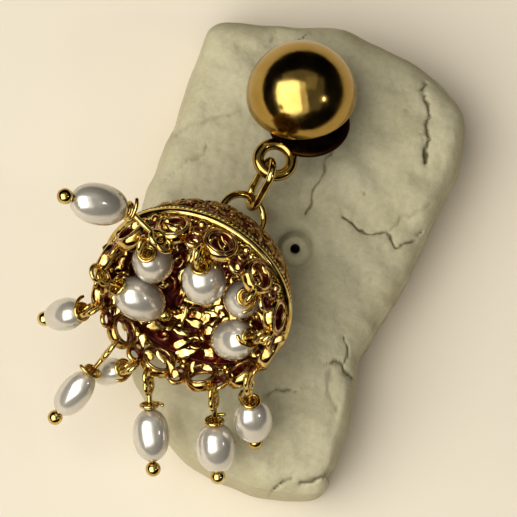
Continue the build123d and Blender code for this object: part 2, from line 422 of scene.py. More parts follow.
# mean height of the top, whose highest lumps come up to the full thickness
SLAB_TOP = SLAB_THICK - 0.16
SLAB_EDGE_ROUND = 2.6
SLAB_FOOT_ROUND = 0.8
# corner of the outline: x, y, radius that rounds it
SLAB_CORNERS = np.array([
    (-7.6, 23.4, 2.0), (4.9, 22.6, 12.0), (12.4, 19.0, 5.0), (16.6, 14.4, 4.0), (15.5, 8.6, 5.0),
    (10.3, -2.4, 12.0), (6.2, -8.8, 5.0), (5.2, -15.3, 8.0), (3.0, -21.3, 2.2), (-3.2, -21.0, 8.0),
    (-10.1, -17.9, 7.0), (-15.1, -9.2, 6.0), (-15.1, 2.0, 9.0)])
# the spare post hole: its place, radius, floor, lip below the top, and the painted shade inside it
HOLE_AT = np.array([0.1, 1.1])
HOLE_RADIUS = 0.43
HOLE_FLOOR = 3.2
HOLE_LIP = 0.55
HOLE_SHADE = 0.9
# press mark round it: radius and depth of a dish, and radius, width and depth of a groove in it
DISH_RADIUS, DISH_DEEP = 2.1, 0.5
GROOVE_RADIUS, GROOVE_WIDE, GROOVE_DEEP = 1.4, 0.22, 0.38
# middle of the stud's half ball, the way it faces, and where its post enters the clay
DOME_AT = np.array([0.4, 14.2, 14.2])
STUD_AXIS = heading(102.0, 65.0)
POST_ENTRY = DOME_AT - STUD_AXIS * ((DOME_AT[2] - SLAB_THICK) / STUD_AXIS[2])
# shrinkage cracks across the top: width and depth, then the points each runs through
CRACKS = [
    (0.20, 0.35, [(1.7, 21.7), (0.9, 21.1), (0.2, 20.6)]),
    (0.14, 0.20, [(-1.5, 21.1), (-2.2, 20.3)]),
    (0.19, 0.44, [
        (12.3, 17.0), (11.8, 16.3), (12.5, 14.9), (12.5, 13.6), (12.2, 12.2), (12.4, 11.6),
        (12.0, 9.3)]),
    (0.13, 0.20, [(12.3, 12.3), (11.7, 12.0)]),
    (0.12, 0.18, [(12.2, 11.3), (11.4, 11.0)]),
    (0.12, 0.16, [(10.4, 14.3), (11.2, 14.6)]),
    (0.19, 0.34, [
        (4.4, 4.1), (5.4, 3.3), (6.8, 2.6), (8.5, 2.8), (8.8, 2.1), (9.3, 1.4), (9.7, 1.6),
        (11.1, 2.1), (11.7, 2.9)]),
    (0.30, 0.12, [(8.7, 2.8), (9.7, 4.0), (11.0, 4.5), (12.6, 5.3)]),
    (0.16, 0.26, [
        (3.4, 10.2), (2.9, 9.2), (3.0, 8.3), (2.5, 7.5), (1.7, 6.3), (1.6, 5.2), (1.0, 4.3)]),
    (0.14, 0.20, [(6.5, 6.1), (6.6, 6.2)]),
    (0.18, 0.28, [(-2.2, -12.3), (-1.0, -11.9), (0.1, -11.9), (1.1, -11.6)]),
    (0.22, 0.38, [(2.7, -9.4), (4.1, -9.4), (4.6, -9.9), (5.4, -10.7)]),
    (0.20, 0.34, [(4.6, -7.1), (4.8, -8.3), (4.5, -9.5)]),
    (0.34, 0.14, [(3.1, -10.2), (3.0, -12.0), (3.9, -13.4)]),
    (0.24, 0.42, [(-2.4, -21.3), (-1.6, -20.4), (-0.6, -19.8)]),
    (0.26, 0.46, [(0.5, -20.3), (1.9, -20.0), (3.0, -19.6)]),
    (0.30, 0.13, [(-4.9, 14.1), (-6.0, 13.5), (-7.3, 13.3), (-9.8, 12.6), (-10.9, 11.8)]),
    (0.32, 0.13, [(-7.9, 10.6), (-8.8, 9.4), (-10.8, 8.5), (-11.9, 7.4)]),
]


def rounded_outline(corners, arc_steps=12, between=20):
    """Closed outline of straight sides joined by arcs: point(a) = centre + radius * (cos a, sin a),
    where the centre lies on the corner's bisector, radius / sin(half its angle) from the corner."""
    at, radius = corners[:, :2], corners[:, 2]
    back, ahead = unit(np.roll(at, 1, 0) - at), unit(np.roll(at, -1, 0) - at)
    half = np.arccos((back * ahead).sum(1)) / 2
    centre = at + unit(back + ahead) * (radius / np.sin(half))[:, None]
    reach = (radius / np.tan(half))[:, None]
    begin, end = at + back * reach - centre, at + ahead * reach - centre
    first = np.arctan2(begin[:, 1], begin[:, 0])
    swing = np.arctan2(end[:, 1], end[:, 0]) - first
    swing = (swing + np.pi) % TURN - np.pi
    a = first[:, None] + swing[:, None] * np.linspace(0, 1, arc_steps)
    arcs = centre[:, None] + radius[:, None, None] * about_z(1, a)[..., :2]
    points = arcs.reshape(-1, 2)
    share = np.linspace(0, 1, between, endpoint=False)[:, None]
    sides = points[:, None] * (1 - share) + np.roll(points, -1, 0)[:, None] * share
    return sides.reshape(-1, 2)


def ripple(x, y, scale, seed, waves=8):
    """Smooth unevenness between about -1 and 1: a sum of cosine waves in seeded directions."""
    rng = np.random.default_rng(seed)
    way = rng.uniform(0, TURN, waves)
    phase = rng.uniform(0, TURN, waves)
    pitch = TURN / (scale * rng.uniform(0.7, 1.9, waves))
    along = x[..., None] * np.cos(way) + y[..., None] * np.sin(way)
    return np.cos(along * pitch + phase).sum(-1) / (0.4 * waves)


def crack_depth(x, y):
    """Depth of the cracks and of their valleys at each point: depth * (1 - distance / width), where
    line and width wander. A valley is half as deep and five times as wide."""
    at = np.stack([side + 0.14 * ripple(x, y, 2.0, seed) + 0.08 * ripple(x, y, 0.8, seed + 1)
                   for side, seed in ((x, 3), (y, 5))], -1)
    total, valley = np.zeros(x.shape), np.zeros(x.shape)
    for width, depth, points in CRACKS:
        a, b = np.array(points[:-1]), np.array(points[1:])
        side = b - a
        share = ((at[..., None, :] - a) * side).sum(-1) / (side ** 2).sum(-1)
        gap = at[..., None, :] - a - held(share)[..., None] * side
        away = np.linalg.norm(gap, axis=-1).min(-1)
        reach = width * (0.85 + 0.4 * ripple(x, y, 1.6, 7))
        total = np.maximum(total, depth * held(1 - away / reach) ** 1.1)
        valley = np.maximum(valley, 0.5 * depth * held(1 - away / (5 * width)) ** 2)
    return total, valley


def slab_edge(u):
    """Distance from the spare hole to the slab's slightly wavering edge at each angle."""
    outline = rounded_outline(SLAB_CORNERS) - HOLE_AT
    angle = np.arctan2(outline[:, 1], outline[:, 0])
    order = np.argsort(angle)
    edge = np.interp(u, angle[order], np.linalg.norm(outline, axis=1)[order], period=TURN)
    waver = 0.05 * np.cos(9 * u + 1) + 0.04 * np.cos(23 * u) + 0.03 * np.cos(41 * u + 2)
    return edge - 0.14 + waver


def slab_section(edge):
    """Radius and height of the slab's section at each angle: up the hole's wall, out over the top,
    down the rounded edge, round the foot and back in underneath."""
    wall = np.linspace(0, 1, 8)[:, None]
    out = np.linspace(0, 1, 126)[:, None] ** 0.92
    bend = np.linspace(0, np.pi / 2, 15)[1:, None]
    foot = np.linspace(0, np.pi / 2, 6)[:, None]
    under = np.linspace(0.9, 0.05, 5)[:, None]
    start, flat = HOLE_RADIUS + 0.03, edge - SLAB_EDGE_ROUND
    runs = [
        (HOLE_RADIUS + 0 * wall, HOLE_FLOOR + wall * (SLAB_TOP - HOLE_LIP - HOLE_FLOOR)),
        (start + out * (flat - start), SLAB_TOP + 0 * out),
        (flat + SLAB_EDGE_ROUND * np.sin(bend), SLAB_TOP - SLAB_EDGE_ROUND * (1 - np.cos(bend))),
        (edge - SLAB_FOOT_ROUND * (1 - np.cos(foot)), SLAB_FOOT_ROUND * (1 - np.sin(foot))),
        (under * edge, 0 * under)]
    return [np.concatenate([np.broadcast_to(run[part], (len(run[1]), len(edge))) for run in runs])
            for part in (0, 1)]


def top_hollows(x, y, r, u, inward):
    """How far the top is sunk, and its groove, whose value also paints the shade in it: lumps in
    three sizes, a fall over the last 8 mm before the edge, the press mark, and the socket round the
    post."""
    lumps = 0.24 * ripple(x, y, 9, 1) + 0.17 * ripple(x, y, 3.4, 2) + 0.03 * ripple(x, y, 1.2, 10)
    fall = 0.3 + 0.75 * held(1 - inward / 8.0) ** 2
    dish = DISH_DEEP * np.exp(-(r / DISH_RADIUS) ** 6)
    groove = GROOVE_DEEP * np.exp(-((r - GROOVE_RADIUS) / GROOVE_WIDE) ** 2)
    # The groove is deeper on its upper-left side and, as painted shade, darker there, where its
    # wall faces away from the light.
    groove = groove * (1 + 0.5 * np.cos(u - 2.2))
    entry = np.hypot(x - POST_ENTRY[0], y - POST_ENTRY[1])
    socket = 3.0 * held((0.75 - entry) / 0.25)
    return fall + dish + groove + socket - lumps, groove


def clay_slab():
    """Slab as one closed surface round the spare hole: point(t, u) = hole + (r cos u, r sin u, z),
    less the hollows and cracks of its upper side, its sides pulled in by chance; and how much shade
    is painted at each point in a crack, the press mark's groove or the spare hole."""
    u = steps_round(600)
    edge = slab_edge(u)
    r, z = slab_section(edge)
    in_hole = r <= HOLE_RADIUS + 0.01
    x, y = HOLE_AT[0] + r * np.cos(u), HOLE_AT[1] + r * np.sin(u)
    upper = held((z - 6.5) / 2.0) * ~in_hole
    hollows, groove = top_hollows(x, y, r, u, edge - r)
    cracks, valley = crack_depth(x, y)
    z = z - upper * (hollows + cracks + valley)
    side = held((5.2 - np.abs(z - 4.8)) / 5.2) * (r > edge - 0.5)
    pulled = side * (0.2 * ripple(u * 14, z, 3.5, 9) - 0.12)
    x, y = x + pulled * np.cos(u), y + pulled * np.sin(u)
    # a pinch in the side near the foot end leaves a small lump at the corner
    x = x - 0.75 * np.exp(-((x - 3.9) / 0.9) ** 2 - ((y + 19.3) / 0.5) ** 2)
    # Painted shade: dark in the cracks and the press mark's groove, darkest down the spare hole.
    pressed = upper * (0.85 * held(cracks / 0.3) ** 1.5 + groove)
    press = np.concatenate([(pressed + HOLE_SHADE * in_hole).ravel(), [HOLE_SHADE, 0.0]])
    return flipped(capped(np.stack([x, y, z], -1))), press


# ---- stud ----

DOME_RADIUS = 5.0
RING_AT = np.array([-2.0, 8.25, 14.1])
RING_AXIS = heading(60.0, 80.0)
RING_RADIUS = 1.52
RING_WIRE = 0.52
# radius and height of the dome's rolled edge, of its neck and post, and of its flat back disc
DOME_EDGE = np.array([(4.98, -0.1), (4.92, -0.2), (4.8, -0.28), (4.6, -0.3), (3.0, -0.3)])
NECK_AND_POST = np.array([
    (3.0, -0.25), (3.4, -0.3), (3.38, -1.2), (3.4, -2.0), (3.3, -2.2), (1.0, -2.3), (0.62, -2.46),
    (0.46, -2.6), (0.4, -2.8), (0.4, -11.8), (0.32, -12.15), (0.15, -12.36)])
BACK_DISC = np.array([
    (1.0, -1.9), (3.2, -1.9), (3.5, -1.92), (3.62, -1.98), (3.67, -2.12), (3.62, -2.3),
    (3.5, -2.38), (3.2, -2.4), (1.0, -2.4)])
DISC_SHIFT = np.array([0.6, -1.7])


def ball_stud():
    """Half ball, a quarter circle turned round the stud's axis, and the loop ring soldered on."""
    t = np.linspace(0, np.pi / 2, 60)[1:]
    dome = np.stack([DOME_RADIUS * np.sin(t), DOME_RADIUS * np.cos(t)], -1)
    body = turned_profile(np.concatenate([dome, DOME_EDGE]), 96)
    to_stud = unit(DOME_AT - RING_AT)
    solder_at = RING_AT + square_to(RING_AXIS, to_stud) * (RING_RADIUS + 0.1)
    return joined([
        placed(body, DOME_AT, axes(STUD_AXIS, UP)),
        placed(ring(RING_RADIUS, RING_WIRE, 72, 20), RING_AT, axes(RING_AXIS, UP)),
        placed(ball(0.55, 10, 16), solder_at, axes(RING_AXIS, to_stud))])


def stud_back():
    """Neck and post turned round the stud's axis, and the disc round its own, clear of the ring."""
    frames = axes(STUD_AXIS, RIGHT)
    disc_at = DOME_AT + frames[0] * DISC_SHIFT[0] + frames[1] * DISC_SHIFT[1]
    return joined([
        placed(turned_profile(NECK_AND_POST, 72), DOME_AT, frames),
        placed(turned_profile(BACK_DISC, 72), disc_at, frames)])


# ---- bell frame ----

BELL_AT = np.array([-9.9, -6.0, 19.5])
BELL_AXIS = heading(61.5, -35.5)
RIM_WAY = -BELL_AXIS
BELL_LEVEL = unit(np.cross(UP, RIM_WAY))
BELL_CROSS = np.cross(RIM_WAY, BELL_LEVEL)
RINGS = 12
# azimuth of the first ring about the bell's axis
FIRST_RING = 118.0
SHELL_RADIUS = 8.7
SHELL_CENTRE = 1.0
DOME_CENTRE = BELL_AT + BELL_AXIS * SHELL_CENTRE
TIER_RADIUS = 8.1
GIRDLE_HEIGHT = 1.9
EYE_ABOVE_SHELL = 0.65
EYE_AT = BELL_AT + BELL_AXIS * (SHELL_CENTRE + SHELL_RADIUS + EYE_ABOVE_SHELL)


def outward(place):
    """Unit vectors from the bell's axis to places round it, counted in rings."""
    a = np.radians(FIRST_RING - 360.0 / RINGS * np.atleast_1d(place))[:, None]
    return BELL_LEVEL * np.cos(a) + BELL_CROSS * np.sin(a)


def on_bell(place, radius, height):
    """Points at places round the bell: centre + axis * height + outward * radius."""
    radius, height = np.atleast_1d(radius)[:, None], np.atleast_1d(height)[:, None]
    return BELL_AT + BELL_AXIS * height + outward(place) * radius


def bell_hoop(radius, height, points=180):
    """Circle round the bell's axis."""
    return on_bell(np.arange(points) * RINGS / points, radius, height)


def tier_frames(place, radius, height):
    """Origins and axes of what stands round the bell: Z outwards, Y towards the apex."""
    normal = outward(place)
    up = np.broadcast_to(BELL_AXIS, normal.shape)
    return on_bell(place, radius, height), np.stack([np.cross(up, normal), up, normal], 1)


def dome_normal(place, latitude):
    """Unit vectors out of the dome: outward * cos latitude + axis * sin latitude, in degrees."""
    rise = np.radians(latitude)[..., None]
    return outward(place) * np.cos(rise) + BELL_AXIS * np.sin(rise)


def dome_frames(place, latitude, spin, radius):
    """Origins and axes on the dome: Z along its normal, X round it turned by spin degrees."""
    normal = dome_normal(place, latitude)
    level = unit(np.cross(BELL_AXIS, normal))
    a = np.radians(spin)[:, None]
    x = level * np.cos(a) + np.cross(normal, level) * np.sin(a)
    return DOME_CENTRE + normal * radius, np.stack([x, np.cross(normal, x), normal], 1)


# ---- chain ----

LINK_WIRE = 0.35
# where the two links meet, and how the upper one leaves the loop ring and rolls about its length
MEET = np.array([-3.9, 5.0, 12.6])
RING_SIDE = RING_AT + square_to(RING_AXIS, MEET - RING_AT) * RING_RADIUS
UPPER_ALONG = unit(RING_SIDE - MEET)
UPPER_ROLL = np.radians(26.0)
level = unit(np.cross(UPPER_ALONG, UP))
UPPER_NORMAL = level * np.cos(UPPER_ROLL) + np.cross(UPPER_ALONG, level) * np.sin(UPPER_ROLL)
LOWER_ALONG = unit(MEET - EYE_AT)
LOWER_NORMAL = unit(np.cross(LOWER_ALONG, UPPER_NORMAL))
LOWER_TANGENT = np.cross(LOWER_NORMAL, LOWER_ALONG)


def upper_link():
    """Oval link: round wire along two straight sides joined by half circles."""
    top = RING_SIDE + UPPER_ALONG * (RING_WIRE + LINK_WIRE + 0.25)
    bottom = MEET - UPPER_ALONG * (2 * LINK_WIRE + 0.06)
    half = np.linalg.norm(top - bottom) / 2
    wide = 1.35
    u = (np.arange(80) + 0.5) * TURN / 80
    path = about_z(wide, u)
    path[:, 0] += (half - wide) * np.sign(np.cos(u))
    link = tube(path, LINK_WIRE, 16, UP, closed=True)
    return placed(link, (top + bottom) / 2, axes(UPPER_NORMAL, UPPER_ALONG))


def lower_link():
    """Round link: a wire ring through the upper link and the bell's eye."""
    link = ring(np.linalg.norm(MEET - EYE_AT) / 2, LINK_WIRE, 72, 16)
    return placed(link, (MEET + EYE_AT) / 2, axes(LOWER_NORMAL, LOWER_ALONG))


# ---- bell ----
# A function that gives a pair gives a part and how proud each of its points stands.

# rows round the dome, each a latitude and a count: scrolls outside, scrolls pressed into the
# sheet, and wires and leaves inside
OUTER_ROWS = [(9, 30), (19.5, 28), (30, 26), (40.5, 23), (51, 19), (61.5, 14), (70, 9)]
PRESSED_ROWS = [(13, 20), (27, 18), (41, 15), (55, 12), (69, 8)]
WIRE_ROWS = [(16, 9), (34, 7), (52, 5), (70, 3)]
LEAF_ROWS = [(10, 20), (21, 19), (32, 17), (43, 14), (54, 12), (65, 9), (76, 5)]
# waves and phase of each kind of leaf's outline
LEAF_KINDS = [(3, 0.4), (4, 1.7), (2, 2.6)]
RIM_LEAVES = 48
# the way in which the hollow's leaves lie thickest, how many more lie there, and their spread
THICKEST_WAY = unit(np.array([0.22, -0.03, -0.97]))
THICK_LEAVES = 22
THICK_SPREAD = 0.15
LIGHT_WAY = unit(np.array([-0.32, -0.22, 0.92]))
ROPE_TWISTS = 64


def scroll_relief(lat, place):
    """Height from 0 to 1.3 of scrolls pressed into the dome: 0.5 + 0.5 cos(TURN d - angle), with d
    and angle about the nearest scroll's centre, and a boss exp(-(d / size)^2) in its eye."""
    best = np.full((len(lat), len(place)), np.inf)
    angle = np.zeros(best.shape)
    for index, (latitude, count) in enumerate(PRESSED_ROWS):
        step = RINGS / count
        first = 0.5 * (index % 2) * step
        number = np.round((place - first) / step)
        turn = (place - first - number * step) * TURN / RINGS
        east = turn * np.cos(np.radians(lat)) * SHELL_RADIUS
        north = np.radians(lat - latitude) * SHELL_RADIUS + 0 * east
        away = np.hypot(east, north)
        winding = np.arctan2(north, east) * (1 - 2 * (number % 2)) + number
        angle = np.where(away < best, winding, angle)
        best = np.minimum(away, best)
    curl = (0.5 + 0.5 * np.cos(TURN * best - angle)) * np.clip(1.8 - best, 0.3, 1)
    crumple = ripple(place * 4.2 + 0 * lat, lat * 0.15 + 0 * place, 1.5, 8)
    return np.clip(0.8 * curl + 0.5 * np.exp(-(best / 0.35) ** 2) + 0.4 * crumple, 0, 1.3)


def bell_shell():
    """Stamped dome: point(lat, u) = centre + normal(lat, u) * (R0 + relief), over the outside from
    apex to edge and back under the inside, where the relief stands towards the axis."""
    around, out_rows, in_rows = 400, 44, 104
    apex, rim = 89, 6.2
    place = np.arange(around) * RINGS / around
    lat = np.concatenate([np.linspace(apex, rim, out_rows), np.linspace(rim, apex, in_rows)])
    lat = lat[:, None]
    inside = np.arange(len(lat))[:, None] >= out_rows
    curls = scroll_relief(lat, place)
    relief = curls * held((lat - 7) / 4)
    sunk = np.where(inside, 0.75 + 0.36 * relief, 0.35 - 0.05 * relief)
    grid = DOME_CENTRE + dome_normal(place, lat) * (SHELL_RADIUS - sunk)[..., None]
    return flipped(capped(grid)), np.concatenate([curls.ravel(), [0.5, 0.5]])


def scroll(turns, outer, inner, wire, points=24, sides=5):
    """Flat spiral of wire: radius(u) = outer + (inner - outer) * u / end."""
    u = np.linspace(0, turns * TURN, points)
    return tube(about_z(outer + (inner - outer) * u / u[-1], u), wire, sides, UP)


def wandering_rows(rng, rows, wander, offset=0.0):
    """Places and latitudes in rows round the dome, every other row half a step on, and each moved
    by chance by the share wander of a step."""
    latitude = np.concatenate([np.full(count, float(lat)) for lat, count in rows])
    place = np.concatenate([
        (np.arange(count) + offset + 0.5 * (index % 2)) * RINGS / count
        for index, (_, count) in enumerate(rows)])
    narrowing = np.maximum(np.cos(np.radians(latitude)), 0.3)
    place = place + rng.normal(0, wander * 0.2, len(place)) / narrowing
    latitude = latitude + rng.normal(0, wander * 3.0, len(place))
    return place, np.clip(latitude, rows[0][0] - 2, 86)


def dome_rows(radius, rows, parts, seed, wander, offset=0.0):
    """Copies of parts in wandering rows round the dome, each place taking one of the parts by lot,
    turned by chance and up to a fifth larger or smaller."""
    rng = np.random.default_rng(seed)
    place, latitude = wandering_rows(rng, rows, wander, offset)
    origins, frames = dome_frames(place, latitude, rng.uniform(0, 360, len(place)), radius)
    frames = frames * rng.uniform(0.8, 1.2, len(place))[:, None, None]
    lot = rng.integers(0, len(parts), len(place))
    return joined([placed(part, origins[lot == index], frames[lot == index])
                   for index, part in enumerate(parts)])


def proud_out(points, floor, rise):
    """How far points stand out of the dome, 0 to 1: (distance from its centre - floor) / rise."""
    return held((np.linalg.norm(points - DOME_CENTRE, axis=-1) - floor) / rise)


def dome_filigree():
    """Rows of wire scrolls over the dome, a granule in each one's eye, and small granules between
    the rows."""
    curls = [scroll(1.4, 0.74, 0.24, 0.2), scroll(1.1, 0.7, 0.36, 0.23),
             scroll(1.7, 0.78, 0.18, 0.18)]
    gaps = [(latitude + 5.2, count) for latitude, count in OUTER_ROWS]
    part = joined([
        dome_rows(SHELL_RADIUS - 0.28, OUTER_ROWS, curls, 11, wander=0.2),
        dome_rows(SHELL_RADIUS - 0.26, OUTER_ROWS, [ball(0.26)], 12, wander=0.3),
        dome_rows(SHELL_RADIUS - 0.3, gaps, [ball(0.28)], 13, wander=0.4, offset=0.5)])
    return part, proud_out(part[0], SHELL_RADIUS - 0.38, 0.24)


def leaf_shape(waves, phase):
    """Leaf of unit size: a ball whose outline is (1 + 0.16 cos(waves u + phase) + 0.1 cos(5 u)) and
    whose face dips by 0.25 cos(2 x + phase)."""
    points, faces = ball(1.0, 6, 14)
    x, y, z = points.T
    u = np.arctan2(y, x)
    edge = 1 + 0.16 * np.cos(waves * u + phase) + 0.1 * np.cos(5 * u)
    dip = 0.25 * np.cos(2 * x + phase) * np.abs(z)
    return np.stack([x * edge, y * edge, z + dip], -1), faces


def cast_leaves(origins, ground, seed, size, slant):
    """Small cast leaves (long x, wide y, thin z) on ground that faces one way, turned by chance,
    three in four slanted up towards the light."""
    rng = np.random.default_rng(seed)
    count, kinds = len(origins), len(LEAF_KINDS)
    turned = slant * (rng.uniform(size=(count, 1)) < 0.75)
    z = unit(ground * (1 - turned) + LIGHT_WAY * turned + rng.normal(0, 0.1, (count, 3)))
    x = square_to(z, rng.normal(size=(count, 3)))
    half = [rng.uniform(0.7, 1.5, count), rng.uniform(0.5, 0.9, count), np.full(count, 0.2)]
    frames = np.stack([x, np.cross(z, x), z], 1) * (size * np.stack(half, -1))[:, :, None]
    parts, worn = [], []
    for lot, kind in enumerate(LEAF_KINDS):
        leaf = leaf_shape(*kind)
        parts.append(placed(leaf, origins[lot::kinds], frames[lot::kinds]))
        # the wash, also painted shade, lies on each leaf's underside; its upper face is pale gold
        worn.append(np.tile(held(0.7 + leaf[0][:, 2]), len(origins[lot::kinds])))
    return joined(parts), np.concatenate(worn)


def twisted(path, side, lift, a, spread, wire, reference, closed=False):
    """Two wires twisted together: strand = path + spread * (cos a * side + sin a * lift), the
    second half a turn on."""
    ways = [np.cos(a + half) * side + np.sin(a + half) * lift for half in (0, np.pi)]
    return joined([tube(path + spread * way, wire, 5, reference, closed) for way in ways])


def inner_filigree():
    """What stands proud within: slanted cast leaves, flattened curls and twisted bars of wire."""
    inside = SHELL_RADIUS - 0.98
    curl = placed(scroll(1.1, 0.85, 0.35, 0.3, 18, 8), np.zeros(3), np.diag([1.0, 1.0, 0.6]))
    t = np.linspace(-0.5, 0.5, 16)[:, None]
    bar = twisted(RIGHT * t * 1.8, AHEAD, UP, t * 2.2 * TURN, 0.2, 0.24, UP)
    wires = dome_rows(inside, WIRE_ROWS, [curl, bar], 21, wander=1.2)
    spread = dome_normal(*wandering_rows(np.random.default_rng(22), LEAF_ROWS, 0.7))
    chance = np.random.default_rng(26).normal(0, THICK_SPREAD, (THICK_LEAVES, 3))
    thick = unit(THICKEST_WAY + chance)
    origins = DOME_CENTRE + np.concatenate([spread * (inside - 0.1), thick * (inside - 0.15)])
    leaves, worn = cast_leaves(origins, -np.concatenate([spread, thick]), 23, 0.74, 0.9)
    proud = 1 - proud_out(wires[0], inside - 0.05, 0.3)
    return joined([wires, leaves]), np.concatenate([proud, worn])


def twisted_hoop(radius, height, spread, wire):
    """Two wires twisted together round the dome."""
    hoop = bell_hoop(radius, height, 640)
    a = steps_round(len(hoop))[:, None] * ROPE_TWISTS
    side, lift = across(hoop, BELL_AXIS, closed=True)
    return twisted(hoop, side, lift, a, spread, wire, BELL_AXIS, closed=True)


def girdle():
    """Plain bright wire round the dome's edge between two finer twisted wires."""
    return joined([
        tube(bell_hoop(8.55, GIRDLE_HEIGHT), 0.36, 12, BELL_AXIS, closed=True),
        twisted_hoop(8.52, GIRDLE_HEIGHT + 0.62, 0.13, 0.14),
        twisted_hoop(8.3, GIRDLE_HEIGHT - 0.5, 0.12, 0.13)])


def strip_ring():
    """Barrel-shaped band: (1.38 + 0.25 cos v, 0.52 sin v), its flanks squared a little, turned."""
    v = steps_round(16)
    flank = np.sign(np.sin(v)) * np.abs(np.sin(v)) ** 0.8
    return turned_profile(np.stack([1.38 + 0.25 * np.cos(v), 0.52 * flank], -1), 40, closed=True)


def ring_tier():
    """Twelve banded rings round the rim, a fine wire inside each lip, and small loops, granules and
    cast leaves between."""
    whole, gap = np.arange(RINGS), np.arange(RINGS) + 0.5
    lip = ring(1.22, 0.15, 40, 6)
    # each part, the radius within which the wash, also painted shade inside the rings, lies in it,
    # its places, height and distance out
    sets = [(strip_ring(), 1.36, whole, 0.0, 0.0), (lip, 1.0, whole, 0.0, 0.42),
            (lip, 1.0, whole, 0.0, -0.42), (ring(0.6, 0.22, 24, 8), 0.6, gap, -0.9, 0.0),
            (ring(0.42, 0.17, 20, 6), 0.42, gap, 0.35, 0.2),
            (ball(0.44, 8, 12), 0.0, gap, 1.1, 0.3), (ball(0.36, 6, 10), 0.0, gap, 1.1, -0.35)]
    parts, proud = [], []
    for part, wash_shade_reach, place, height, out in sets:
        parts.append(placed(part, *tier_frames(place, TIER_RADIUS + out, height)))
        reach = np.hypot(*part[0][:, :2].T)
        proud.append(np.tile(held((reach - wash_shade_reach) / 0.15), RINGS))
    rng = np.random.default_rng(24)
    place = (np.arange(RIM_LEAVES) + rng.uniform(-0.3, 0.3, RIM_LEAVES)) * RINGS / RIM_LEAVES
    height, out = rng.uniform(-0.9, 1.5, RIM_LEAVES), rng.choice([-0.45, 0.35], RIM_LEAVES)
    ground = outward(place) * np.sign(out)[:, None]
    leaves, worn = cast_leaves(on_bell(place, TIER_RADIUS + out, height), ground, 25, 0.56, 0.85)
    return joined([*parts, leaves]), np.concatenate([*proud, worn])


def crown():
    """Standing loops and granules about the top of the dome, and the eye of the bell."""
    radius, count = 2.7, 10
    place = np.arange(count) * RINGS / count
    height = SHELL_CENTRE + np.sqrt(SHELL_RADIUS ** 2 - radius ** 2)
    part = joined([
        placed(ball(0.5, 8, 12), *tier_frames(place, radius, height)),
        placed(ring(0.5, 0.17, 20, 6), *tier_frames(place + 0.6, radius + 0.05, height + 0.15)),
        tube(bell_hoop(1.75, height + 0.42, 60), 0.25, 8, BELL_AXIS, closed=True),
        placed(ring(0.8, 0.3, 40, 12), EYE_AT, axes(LOWER_TANGENT, UP))])
    return part, proud_out(part[0], SHELL_RADIUS - 0.3, 0.3)


# ---- pearl drops ----

PIN_WIRE = 0.25
PIN_BALL = 0.68
EYE_RADIUS = 0.65
EYE_HEIGHT = 0.79
COIL_HEIGHT = 0.45
COIL_WIRE = 0.17
HANGER_RADIUS = 0.7
HANGER_WIRE = 0.21
HANGER_HEIGHT = -2.2
# how full a pearl is within its stated length and width
PEARL_FULL = 0.985
BORE_RADIUS = 0.3 * PEARL_FULL
# ring place (0 to 12), azimuth, elevation, bare shank, pearl length, pearl width, bend of the shank
DROPS = [
    (0.0, 137, 11, 2.6, 5.3, 3.6, -41), (11.5, -30, -77, 0.8, 4.8, 3.6, 0),
    (0.75, -70, -68, 0.3, 4.6, 3.8, 0), (2.1, 119, -81, 0.9, 4.6, 3.4, 0),
    (3.1, 171, -62, 1.1, 4.8, 3.6, 0), (4.5, -78, -57, 1.2, 4.6, 3.5, 0),
    (5.5, -85, -36, 1.2, 4.6, 3.6, 0), (7.0, -86, -22, 1.0, 4.8, 3.3, 0),
    (7.4, 178, -61, 0.1, 4.4, 2.6, 0), (8.0, -132, -35, 1.6, 5.0, 2.9, 0),
    (9.0, 179, -53, 0.1, 4.6, 3.0, 0), (10.0, -23, -42, 1.1, 5.0, 3.9, 0)]


def drop_frame(place, azimuth, elevation):
    """Origin inside the drop's hanger loop, and axes: Z down the pin, X along the loop's axis."""
    down = heading(azimuth, elevation)
    return on_bell(place, TIER_RADIUS, HANGER_HEIGHT)[0], axes(down, np.cross(RIM_WAY, down))


def pearl_frame(place, azimuth, elevation, shank, bend):
    """Where the pin's coil begins, at the end of the bare shank, turned about X by the bend."""
    origin, (x, y, z) = drop_frame(place, azimuth, elevation)
    b = np.radians(bend)
    lower = np.stack([x, y * np.cos(b) + z * np.sin(b), z * np.cos(b) - y * np.sin(b)])
    return origin + z * (EYE_HEIGHT + EYE_RADIUS + shank), lower


def hangers():
    """Loops soldered under the rings, which the head pins hang from."""
    loop = ring(HANGER_RADIUS, HANGER_WIRE, 32, 10)
    frames = [drop_frame(*drop[:3]) for drop in DROPS]
    return joined([placed(loop, origin, axes(x, z)) for origin, (x, _, z) in frames])


def pin_coil(number):
    """Tail of the wire wound over the pearl: path(u) = (r(u) cos u, r(u) sin u), falling as r
    grows, its cut end sprung outwards."""
    u = np.linspace(0, 2.35 * TURN, 60)
    share = u / u[-1]
    sprung = held(share - 0.93) / 0.07
    r = 0.42 + 0.36 * held(share * 1.25) + 0.5 * sprung
    z = COIL_HEIGHT - 0.42 + 0.3 * (1 - share)
    return tube(about_z(r, u + number * 1.3, z), COIL_WIRE, 8, UP)


